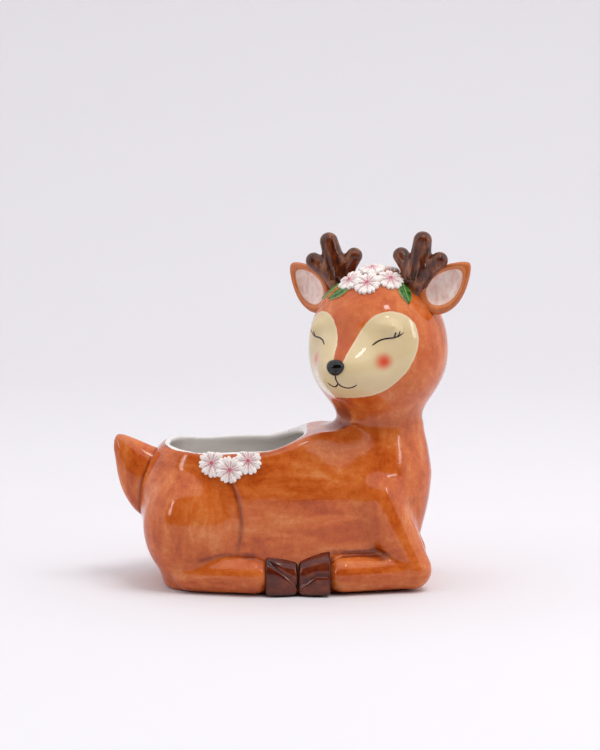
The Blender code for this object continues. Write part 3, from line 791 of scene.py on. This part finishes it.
def on_face(places):
    """Points on the glaze at these places round and up the face, and the way out of it."""
    azimuth, height = np.radians(places[:, 0]), places[:, 1] * 0.001
    away = np.stack([np.sin(azimuth), -np.cos(azimuth), np.zeros_like(azimuth)], axis=1)
    low, high = np.full(len(places), 0.015), np.full(len(places), 0.085)
    for _ in range(26):
        middle = (low + high) / 2
        point = away * middle[:, None] + np.stack([0 * height, 0 * height, height], axis=1)
        inside = head_form(from_head_axes(point)) < 0
        low, high = np.where(inside, middle, low), np.where(inside, high, middle)
    return nudge(head_form, from_head_axes(point), 1)


def grown(name, tree, source, **values):
    """The mesh that a Geometry Nodes tree makes from a source mesh."""
    carrier = bpy.data.objects.new(name, source)
    bpy.context.scene.collection.objects.link(carrier)
    modifier = carrier.modifiers.new("grow", "NODES")
    modifier.node_group = tree
    for item in tree.interface.items_tree:
        if item.item_type == "SOCKET" and item.in_out == "INPUT" and item.name in values:
            modifier[item.identifier] = values[item.name]
    bpy.context.view_layer.update()
    depsgraph = bpy.context.evaluated_depsgraph_get()
    mesh = bpy.data.meshes.new_from_object(
        carrier.evaluated_get(depsgraph), preserve_all_data_layers=True, depsgraph=depsgraph)
    mesh.name = name
    bpy.data.objects.remove(carrier)
    return mesh


def new_growth(name, **sockets):
    """An empty Geometry Nodes tree with named inputs."""
    tree = bpy.data.node_groups.new(name, "GeometryNodeTree")
    tree.interface.new_socket("Geometry", in_out="INPUT", socket_type="NodeSocketGeometry")
    tree.interface.new_socket("Geometry", in_out="OUTPUT", socket_type="NodeSocketGeometry")
    for socket, kind in sockets.items():
        tree.interface.new_socket(socket, in_out="INPUT", socket_type="NodeSocket" + kind)
    return tree, tree.nodes.new("NodeGroupInput").outputs, tree.nodes.new("NodeGroupOutput").inputs


overglaze, tree, shader = new_glaze("black_overglaze_line", 0.25)
shader.inputs["Base Color"].default_value = linear("2A1614")

tree, given, result = new_growth("brush_line", Width="Float", Paint="Material")
path = add(tree, "GeometryNodeMeshToCurve", Mesh=given["Geometry"])
pressure = add(tree, "GeometryNodeInputNamedAttribute", {"data_type": "FLOAT"}, Name="pressure")
path = add(tree, "GeometryNodeSetCurveRadius", Curve=path.outputs[0], Radius=pressure.outputs[0])
half_width = figure(tree, "MULTIPLY", given["Width"], 0.5)
tip_ring = add(tree, "GeometryNodeCurvePrimitiveCircle", Resolution=10, Radius=half_width)
line = add(
    tree, "GeometryNodeCurveToMesh", Curve=path.outputs[0], Profile_Curve=tip_ring.outputs[0],
    Fill_Caps=True)
if "Scale" in line.inputs:
    tree.links.new(add(tree, "GeometryNodeInputRadius").outputs[0], line.inputs["Scale"])
line = add(tree, "GeometryNodeRealizeInstances", Geometry=line.outputs[0])
line = add(tree, "GeometryNodeSetMaterial", Geometry=line.outputs[0], Material=given["Paint"])
tree.links.new(line.outputs[0], result["Geometry"])
brush_line = tree


def draw(name, drawn_lines):
    """Several brush lines as one fired-on piece: each swells in the middle and tapers to its ends."""
    points, edges, pressures = [], [], []
    for places, start, end in drawn_lines:
        places = smooth_path(places, 24, 3)
        on_glaze, outward = on_face(places)
        share = np.linspace(0, 1, len(places))
        pressure = np.minimum(1, np.minimum(start + share * 5, end + (1 - share) * 5))
        sunk = on_glaze - outward * (pressure[:, None] * LINE_WIDTH * 0.22)
        first = len(points)
        points += sunk.tolist()
        edges += [(first + i, first + i + 1) for i in range(len(places) - 1)]
        pressures += pressure.tolist()
    source = bpy.data.meshes.new(name)
    source.from_pydata(points, edges, [])
    note(source, "pressure", pressures)
    mesh = grown(name, brush_line, source, Width=LINE_WIDTH, Paint=overglaze)
    return show(name, mesh, overglaze)


for side, where in ((-1, "left"), (1, "right")):
    turned = np.array((side, 1.0))
    draw("eye_line_" + where, [
        (np.array(EYE_LINE) * turned + (FACE_MIDDLE, 0), 0.7, 0.25),
        *((np.array(lash) * turned + (FACE_MIDDLE, 0), 0.6, 0.15) for lash in LASHES)])
draw("mouth_line", [
    (np.array(MOUTH_STEM), 0.6, 0.7),
    (np.array(MOUTH_RIGHT), 0.6, 0.3),
    (np.array(MOUTH_LEFT), 0.6, 0.3)])

# ---------------------------------------------------------------- hooves
# Four wedges of clay luted on where the folded legs meet, toe to toe, each split by a tooled
# groove. They are brushed with a thin red-brown underglaze, darker at the edges.

HOOF_SPLIT = 0.0055
HOOF_LENGTH = 0.0215
TOE_HEIGHT = 0.0240
HOOF_INNER = 0.0460
HOOF_OUTER = 0.0575
HOOF_LIFT = 0.0008
TOE_GAP = 0.0002
HIND_HEEL_HEIGHT = 0.0275
FORE_HEEL_HEIGHT = 0.0300
HOOF_PITCH = 0.0006
HIND_GROOVE = ((-0.0140, 0.0235), (-0.0070, 0.0185), (0.0000, 0.0130), (0.0045, 0.0075))
FORE_GROOVE = ((0.0250, 0.0150), (0.0170, 0.0150), (0.0115, 0.0105), (0.0070, 0.0080))


def hoof_form(heel, heel_height, side, groove):
    def form(p):
        x, y, z = p[..., 0], p[..., 1] * side, p[..., 2]
        share = np.clip((x - heel) / (HOOF_SPLIT - heel), 0, 1)
        height = heel_height + (TOE_HEIGHT - heel_height) * share ** 1.4
        if heel > HOOF_SPLIT:
            low, high = HOOF_SPLIT + TOE_GAP, heel
        else:
            low, high = heel, HOOF_SPLIT - TOE_GAP
        near = np.full(x.shape, 1.0)
        for start, end in zip(groove, groove[1:]):
            along = np.subtract(end, start)
            offset = np.stack([x, z], axis=-1) - start
            part = np.clip(offset @ along / (along @ along), 0, 1)
            near = np.minimum(near, np.linalg.norm(offset - part[..., None] * along, axis=-1))
        outer = HOOF_OUTER - 0.0030 * share ** 3 - 7.0 * np.maximum(0, z - 0.009) ** 2
        outer = outer - 0.0010 * np.exp(-(near / 0.0013) ** 2)
        shape = -melt(outer - y, height - z, 0.011)
        shape = -melt(-shape, x - low, 0.0020)
        shape = -melt(-shape, high - x, 0.0020)
        shape = -melt(-shape, z - HOOF_LIFT, 0.0040)
        return np.maximum(shape, HOOF_INNER - y)
    return form


hoof_glaze, tree, shader = new_glaze("brushed_red_brown_underglaze", 0.13)
paint = tones(
    tree, strokes(tree, (0.007, 0.006, 0.005), 4.0, 0.5),
    (0.34, "4E1607"), (0.50, "60200C"), (0.66, "743014"))
# Painted shade and pooled glaze: the paint goes near-black in the tooled groove and other creases.
paint = blend(tree, fade(tree, guide(tree, "crease"), 0.08, 0.4), paint, linear("260A06"))
paint = wash(tree, paint, fade(tree, guide(tree, "hoof_edge"), 0.0022, 0.0006), 0.8, "471009")
tree.links.new(paint, shader.inputs["Base Color"])

for side, where in ((-1, "near"), (1, "far")):
    for name, heel, heel_height, groove in (
            ("hoof_hind_" + where, HOOF_SPLIT - HOOF_LENGTH, HIND_HEEL_HEIGHT, HIND_GROOVE),
            ("hoof_fore_" + where, HOOF_SPLIT + HOOF_LENGTH, FORE_HEEL_HEIGHT, FORE_GROOVE)):
        form = hoof_form(heel, heel_height, side, groove)
        left, right = sorted((heel, HOOF_SPLIT))
        near, far = sorted((side * 0.0445, side * 0.0605))
        low, high = (left - 0.0015, near, -0.0015), (right + 0.0015, far, 0.0315)
        hoof_mesh, _ = cast(name, form, low, high, HOOF_PITCH)
        spots = mesh_points(hoof_mesh)
        paint_guides(hoof_mesh, form, spots)
        note(hoof_mesh, "hoof_edge", np.abs(spots[:, 0] - heel))
        hoof = show("glazed_" + name, hoof_mesh, hoof_glaze)
        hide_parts(name)

# ---------------------------------------------------------------- tail
# A solid upright tail, modelled flat at the sides and thin at the tip, luted to the rump. It is
# brushed along its length.

TAIL_X = (-0.0930, -0.1015, -0.1083, -0.1134, -0.1172, -0.1202)
TAIL_Z = (0.0670, 0.0715, 0.0793, 0.0873, 0.0938, 0.0972)
TAIL_HALF_HEIGHT = (0.0245, 0.0230, 0.0185, 0.0130, 0.0082, 0.0040)
TAIL_HALF_WIDTH = (0.0135, 0.0130, 0.0105, 0.0075, 0.0050, 0.0026)
TAIL_LEAN = (13, 14, 21, 23, 18, 12)
TAIL_RINGS = 42

share = np.linspace(0, 1, TAIL_RINGS)
stations = np.stack([TAIL_X, TAIL_Z, TAIL_HALF_HEIGHT, TAIL_HALF_WIDTH, TAIL_LEAN], axis=1)
run = smooth_path(stations * (1, 1, 1, 1, 0.001), TAIL_RINGS, 3)
closing = np.sqrt(np.clip(1 - np.clip((share - 0.93) / 0.07, 0, 1) ** 2, 0, 1))
angle = np.linspace(0, 2 * np.pi, 56, endpoint=False)
lean = np.radians(run[:, 4] * 1000)[:, None]
across = (run[:, 3] * closing)[:, None] * np.cos(angle)
rise = (run[:, 2] * closing)[:, None] * np.sign(np.sin(angle)) * np.abs(np.sin(angle)) ** 0.9
grid = np.stack([
    run[:, :1] + rise * np.sin(lean), across, run[:, 1:2] + rise * np.cos(lean)], axis=-1)
tail_mesh = sheet("tail", grid, closed=True)
spots = mesh_points(tail_mesh)
note(tail_mesh, "upright_strokes", np.ones(len(spots)))
# Painted shade and pooled glaze: the tail is darker within a few millimetres of the rump, where it meets
# the body.
note(tail_mesh, "crease", np.clip(1 - skin(spots) / 0.003, 0, 1) * 0.35)
# The tail's lighter ridge tone is set by height alone: the paint is lighter towards the top of the tail.
note(tail_mesh, "ridge", ease((spots[:, 2] - 0.085) / 0.02) * 0.5)
tail_glaze, tree, shader = new_glaze("brushed_orange_tail_glaze", 0.11)
tree.links.new(brushed_orange(tree, shader), shader.inputs["Base Color"])
tail = show("glazed_tail", tail_mesh, tail_glaze)
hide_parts("tail")

# ---------------------------------------------------------------- flowers
# Blossoms pressed from thin clay in a sprig mould: eight notched petals laid round a bead of
# stamens, luted to the crown and the near rim, white glazed with painted pink strokes.

PETALS = 8
FLOWER_RADIUS = 0.0095
HEAD_FLOWERS = (
    (-0.0080, -0.0212), (0.0058, -0.0240), (0.0180, -0.0150), (0.0030, -0.0105), (0.0130, 0.0065),
    (-0.0060, 0.0060))
RIM_FLOWERS = ((-0.0531, 0.0899), (-0.0395, 0.0839), (-0.0275, 0.0901))
RIM_LIFTS = (0.0, 0.0007, 0.0003)
NEAR_FLANK = -0.046
STAMENS = 7
STAMEN_RING = 0.00115
STAMEN_SIZE = 0.00062
HEART_RADIUS = 0.0019
HEART_LIFT = 0.0010


def petal():
    """One petal with its foot at the flower's middle and its notched end at +X."""
    run = np.concatenate([np.linspace(0, 1, 13), [1.0]])
    side = np.concatenate([[-1.0], np.linspace(-1, 1, 15), [1.0]])
    t, s = np.meshgrid(run, side, indexing="ij")
    notch = 0.13 * np.exp(-(s / 0.20) ** 2) + 0.17 * np.abs(s) ** 3
    radius = FLOWER_RADIUS * (0.08 + 0.92 * t) * (1 - notch * t ** 2)
    turn = s * 0.43 * (1 - 0.14 * t ** 4)
    height = 0.0007 + 0.0015 * np.sin(np.pi * np.clip(t * 0.76, 0, 1))
    height = height * (1 - 0.55 * s ** 2) + 0.00030 * s - 0.00035 * np.exp(-(s / 0.16) ** 2) * t
    skirt = np.zeros_like(t, bool)
    skirt[-1], skirt[:, 0], skirt[:, -1] = True, True, True
    height = np.where(skirt, -0.0007, height)
    grid = np.stack([radius * np.cos(turn), radius * np.sin(turn), height], axis=-1)
    mesh = sheet("petal", grid, flip=True)
    note(mesh, "petal_run", t.ravel())
    note(mesh, "petal_side", s.ravel())
    return mesh


def press_on(mesh, form, middle, toward, lift, ceiling=None):
    """Lays a flat sprig on a casting, so that it follows the curve of the clay under it."""
    flat = mesh_points(mesh)
    middle, outward = nudge(form, np.array([middle]), 4)
    outward = outward[0]
    along = np.asarray(toward, float)
    along = along - outward * (along @ outward)
    along /= np.linalg.norm(along)
    across = np.cross(outward, along)
    spots = middle + flat[:, :1] * along + flat[:, 1:2] * across
    if ceiling is not None:
        over = np.maximum(0, spots[:, 2] - ceiling)
        spots[:, 2] = np.where(over > 0, ceiling + 0.0012 * np.tanh(over / 0.0012), spots[:, 2])
    spots, slope = nudge(form, spots, 3)
    spots = spots + (flat[:, 2:] + lift) * slope
    mesh.vertices.foreach_set("co", spots.ravel())
    mesh.update()


tree, given, result = new_growth(
    "pressed_flower", Petals="Int", Stamens="Int", Stamen_Ring="Float", Stamen_Size="Float",
    Glaze="Material")
given = {socket.name.replace("_", " "): socket for socket in given}
spread = add(tree, "GeometryNodePoints", Count=given["Petals"])
index = add(tree, "GeometryNodeInputIndex").outputs[0]
step = figure(tree, "DIVIDE", 2 * math.pi, given["Petals"])
heading = figure(tree, "MULTIPLY", index, step)
turn = add(tree, "ShaderNodeCombineXYZ", Z=heading)
size = add(tree, "FunctionNodeRandomValue", {"data_type": "FLOAT"}, i2=0.93, i3=1.05, Seed=7)
ring = add(
    tree, "GeometryNodeInstanceOnPoints", Points=spread.outputs[0], Instance=given["Geometry"],
    Rotation=turn.outputs[0], Scale=size.outputs[1])
circle = add(tree, "GeometryNodeMeshCircle", Vertices=given["Stamens"], Radius=given["Stamen Ring"])
bead = add(tree, "GeometryNodeMeshIcoSphere", Radius=given["Stamen Size"], Subdivisions=2)
beads = add(tree, "GeometryNodeInstanceOnPoints", Points=circle.outputs[0], Instance=bead.outputs[0])
heart = add(tree, "GeometryNodeMeshIcoSphere", Radius=given["Stamen Size"], Subdivisions=3)
heart = add(tree, "GeometryNodeTransform", Geometry=heart.outputs[0], Scale=(1.7, 1.7, 1.3))
joined = tree.nodes.new("GeometryNodeJoinGeometry")
for branch in (heart, beads, ring):
    tree.links.new(branch.outputs[0], joined.inputs[0])
whole = add(tree, "GeometryNodeRealizeInstances", Geometry=joined.outputs[0])
whole = add(tree, "GeometryNodeSetMaterial", Geometry=whole.outputs[0], Material=given["Glaze"])
tree.links.new(whole.outputs[0], result["Geometry"])
flower_tree = tree

petal_glaze, tree, shader = new_glaze("white_glaze_with_pink_strokes", 0.16)
run, cross = guide(tree, "petal_run"), guide(tree, "petal_side")
wave = figure(tree, "COSINE", figure(tree, "MULTIPLY", cross, 4.4))
ray = figure(tree, "POWER", figure(tree, "ABSOLUTE", wave), 12.0)
length = figure(tree, "ADD", 0.46, figure(tree, "MULTIPLY", strokes(tree, (0.002, 0.002, 0.002)), 0.35))
ray = figure(tree, "MULTIPLY", ray, fade(tree, figure(tree, "SUBTRACT", run, length), 0.05, -0.12))
flush = fade(tree, run, 0.50, 0.05)
white = blend(tree, strokes(tree, (0.003, 0.003, 0.003)), linear("F7F1EC"), linear("EDE0DA"))
paint = blend(tree, figure(tree, "MULTIPLY", flush, 0.55), white, linear("E7A9B2"))
paint = wash(tree, paint, ray, 0.85, "A8505E")
paint = blend(tree, fade(tree, run, 0.10, 0.02), paint, linear("D4687C"))
tree.links.new(paint, shader.inputs["Base Color"])


def flower(name, middle, form, toward, lift, ceiling=None):
    mesh = grown(
        name, flower_tree, petal(), Petals=PETALS, Stamens=STAMENS, Stamen_Ring=STAMEN_RING,
        Stamen_Size=STAMEN_SIZE, Glaze=petal_glaze)
    spots = mesh_points(mesh)
    in_heart = np.hypot(spots[:, 0], spots[:, 1]) < HEART_RADIUS
    spots[:, 2] += np.where(in_heart, HEART_LIFT, 0.0)
    mesh.vertices.foreach_set("co", spots.ravel())
    press_on(mesh, form, middle, toward, lift, ceiling)
    blossom = show("glazed_" + name, mesh, petal_glaze)
    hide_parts(name)


def on_crown(x, y):
    """The highest point of the head over this place in its own axes."""
    heights = np.linspace(0.060, 0.0, 241)
    column = from_head_axes(np.stack([0 * heights + x, 0 * heights + y, heights], axis=1))
    return column[np.argmax(head_form(column) < 0)]


for i, (x, y) in enumerate(HEAD_FLOWERS, 1):
    toward = (math.cos(i * 2.1), math.sin(i * 2.1), 0)
    flower("head_flower_%d" % i, on_crown(x, y), head_form, toward, 0.0004 * ((i * 2) % 3))
for i, (x, z) in enumerate(RIM_FLOWERS, 1):
    toward = (math.cos(i * 1.7), 0, math.sin(i * 1.7))
    flower("rim_flower_%d" % i, (x, NEAR_FLANK, z), skin, toward, RIM_LIFTS[i - 1], RIM_HEIGHT - 0.0020)

# ---------------------------------------------------------------- leaves
# Four small leaves pressed in a sprig mould and tucked under the blossoms, with toothed edges
# and a veined face, brushed with green underglaze over the cream body.

HEAD_LEAVES = (
    (-0.0140, -0.0275, 205), (0.0290, -0.0150, 325), (-0.0265, -0.0165, 190), (-0.0040, 0.0210, 90))
LEAF_LENGTH = 0.0170
LEAF_HALF_WIDTH = 0.0046
TEETH = 6


def leaf_grid():
    run = np.concatenate([[0.0], np.linspace(0, 1, 43), [1.0]])
    side = np.concatenate([[-1.0], np.linspace(-1, 1, 21), [1.0]])
    t, s = np.meshgrid(run, side, indexing="ij")
    tooth = 1 + 0.13 * ((t * TEETH) % 1.0 - 0.5) * (t < 0.97)
    width = LEAF_HALF_WIDTH * np.sin(np.pi * np.clip(t, 0.02, 0.985) ** 0.85) ** 0.75 * tooth
    vein = np.abs(((t * 5.5 - np.abs(s) * 0.9) % 1.0) - 0.5)
    height = 0.0016 * (1 - 0.35 * s ** 2) - 0.0004 * np.exp(-(s / 0.09) ** 2)
    height -= 0.0003 * np.exp(-(vein / 0.10) ** 2) * (np.abs(s) > 0.08)
    skirt = np.zeros_like(t, bool)
    skirt[0], skirt[-1], skirt[:, 0], skirt[:, -1] = True, True, True, True
    height = np.where(skirt, -0.0006, height)
    return t, s, np.stack([(t - 0.5) * LEAF_LENGTH, s * width, height], axis=-1)


leaf_glaze, tree, shader = new_glaze("brushed_green_underglaze", 0.15)
run, cross = guide(tree, "leaf_run"), figure(tree, "ABSOLUTE", guide(tree, "leaf_side"))
slant = figure(tree, "MULTIPLY", cross, 0.9)
ribs = figure(tree, "SUBTRACT", figure(tree, "MULTIPLY", run, 5.5), slant)
ribs = figure(tree, "PINGPONG", ribs, 0.5)
paint = tones(
    tree, strokes(tree, (0.003, 0.003, 0.003)), (0.35, "1F4A1C"), (0.5, "2F6A2A"), (0.65, "4E8636"))
paint = wash(tree, paint, fade(tree, ribs, 0.09, 0.02), 0.55, "16330F")
paint = blend(tree, fade(tree, cross, 0.10, 0.03), paint, linear("8FA850"))
paint = wash(tree, paint, fade(tree, cross, 0.80, 0.97), 0.75, "B9B06A")
tree.links.new(paint, shader.inputs["Base Color"])

for i, (x, y, heading) in enumerate(HEAD_LEAVES, 1):
    t, s, grid = leaf_grid()
    leaf_mesh = sheet("head_leaf_%d" % i, grid, flip=True)
    note(leaf_mesh, "leaf_run", t.ravel())
    note(leaf_mesh, "leaf_side", s.ravel())
    way = math.radians(heading)
    toward = from_head_axes((math.cos(way), math.sin(way), 0)) - HEAD_CENTRE
    press_on(leaf_mesh, head_form, on_crown(x, y), toward, 0.0)
    leaf = show("glazed_head_leaf_%d" % i, leaf_mesh, leaf_glaze)
    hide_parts("head_leaf_%d" % i)

# ---------------------------------------------------------------- studio
# A pale seamless sweep under an even sky, a soft key from above and the right, two narrow
# windows, and a dark flag behind the camera that keeps the glaze from reflecting a bright room.

SWEEP_HALF = 3.0
SWEEP_FRONT = -2.5
SWEEP_BEND = 1.2
BEND_RADIUS = 0.8
BEND_STEPS = 8
SWEEP_TOP = 3.0
FLAG_HALF = 3.6
FLAG_PLACE = -1.9
FLAG_FOOT = -0.2
FLAG_TOP = 1.8

sweep = bmesh.new()
profile = [(SWEEP_FRONT, 0.0), (SWEEP_BEND, 0.0)]
for i in range(1, BEND_STEPS + 1):
    angle = math.pi / 2 * i / BEND_STEPS
    profile.append((SWEEP_BEND + BEND_RADIUS * math.sin(angle), BEND_RADIUS * (1 - math.cos(angle))))
profile.append((SWEEP_BEND + BEND_RADIUS, SWEEP_TOP))
rows = [[sweep.verts.new((x, y, z)) for y, z in profile] for x in (-SWEEP_HALF, SWEEP_HALF)]
for i in range(len(profile) - 1):
    sweep.faces.new((rows[0][i], rows[1][i], rows[1][i + 1], rows[0][i + 1]))
sweep_mesh = bpy.data.meshes.new("sweep")
sweep.to_mesh(sweep_mesh)
sweep.free()
sweep_mesh.shade_smooth()
floor = bpy.data.objects.new("paper_sweep", sweep_mesh)
bpy.context.scene.collection.objects.link(floor)
paper = bpy.data.materials.new("pale_paper")
paper.use_nodes = True
paper_shader = paper.node_tree.nodes["Principled BSDF"]
paper_shader.inputs["Base Color"].default_value = linear("E2E0E3")
paper_shader.inputs["Roughness"].default_value = 0.9
sweep_mesh.materials.append(paper)

world = bpy.data.worlds.new("studio_sky")
bpy.context.scene.world = world
world.use_nodes = True
sky = world.node_tree.nodes["Background"]
sky.inputs["Color"].default_value = (0.975, 0.965, 0.99, 1.0)
sky.inputs["Strength"].default_value = 1.15


LAMP_AIM = Vector((0, 0, 0.1))


def softbox(name, place, width, height, power):
    lamp = bpy.data.lights.new(name, "AREA")
    lamp.shape = "RECTANGLE"
    lamp.size = width
    lamp.size_y = height
    lamp.energy = power
    stand = bpy.data.objects.new(name, lamp)
    bpy.context.scene.collection.objects.link(stand)
    stand.location = place
    stand.rotation_euler = (LAMP_AIM - Vector(place)).to_track_quat("-Z", "Y").to_euler()
    return stand


overhead = softbox("overhead_softbox", (0.75, -0.60, 2.0), 1.0, 0.7, 16.0)
overhead.visible_glossy = False
softbox("overhead_bulb", (0.25, -0.60, 1.25), 0.16, 0.16, 0.9)
softbox("right_window", (1.25, -0.75, 0.75), 0.12, 0.6, 1.6)
softbox("left_window", (-1.15, -0.85, 0.55), 0.12, 0.5, 1.4)

flag_mesh = bpy.data.meshes.new("flag")
flag_corners = [
    (-FLAG_HALF, FLAG_PLACE, FLAG_FOOT), (FLAG_HALF, FLAG_PLACE, FLAG_FOOT),
    (FLAG_HALF, FLAG_PLACE, FLAG_TOP), (-FLAG_HALF, FLAG_PLACE, FLAG_TOP)]
flag_mesh.from_pydata(flag_corners, [], [(0, 1, 2, 3)])
flag = bpy.data.objects.new("dark_flag", flag_mesh)
bpy.context.scene.collection.objects.link(flag)
felt = bpy.data.materials.new("black_felt")
felt.use_nodes = True
felt_shader = felt.node_tree.nodes["Principled BSDF"]
felt_shader.inputs["Base Color"].default_value = linear("2A2A2C")
felt_shader.inputs["Roughness"].default_value = 1.0
flag_mesh.materials.append(felt)
flag.visible_camera = False

SENSOR_HEIGHT = 36
CAMERA_ELEVATION = math.radians(6.5)
CAMERA_DISTANCE = 1.4
VIEW_HEIGHT = 0.5108
aim = Vector((0.0068, 0.0, 0.1420))
camera_data = bpy.data.cameras.new("camera")
camera_data.sensor_fit = "VERTICAL"
camera_data.sensor_height = SENSOR_HEIGHT
camera_data.sensor_width = SENSOR_HEIGHT
camera_data.lens = SENSOR_HEIGHT * CAMERA_DISTANCE / VIEW_HEIGHT
camera = bpy.data.objects.new("camera", camera_data)
bpy.context.scene.collection.objects.link(camera)
camera.location = aim + CAMERA_DISTANCE * Vector(
    (0, -math.cos(CAMERA_ELEVATION), math.sin(CAMERA_ELEVATION)))
camera.rotation_euler = (math.pi / 2 - CAMERA_ELEVATION, 0, 0)
bpy.context.scene.camera = camera
bpy.context.scene.view_settings.view_transform = "Standard"
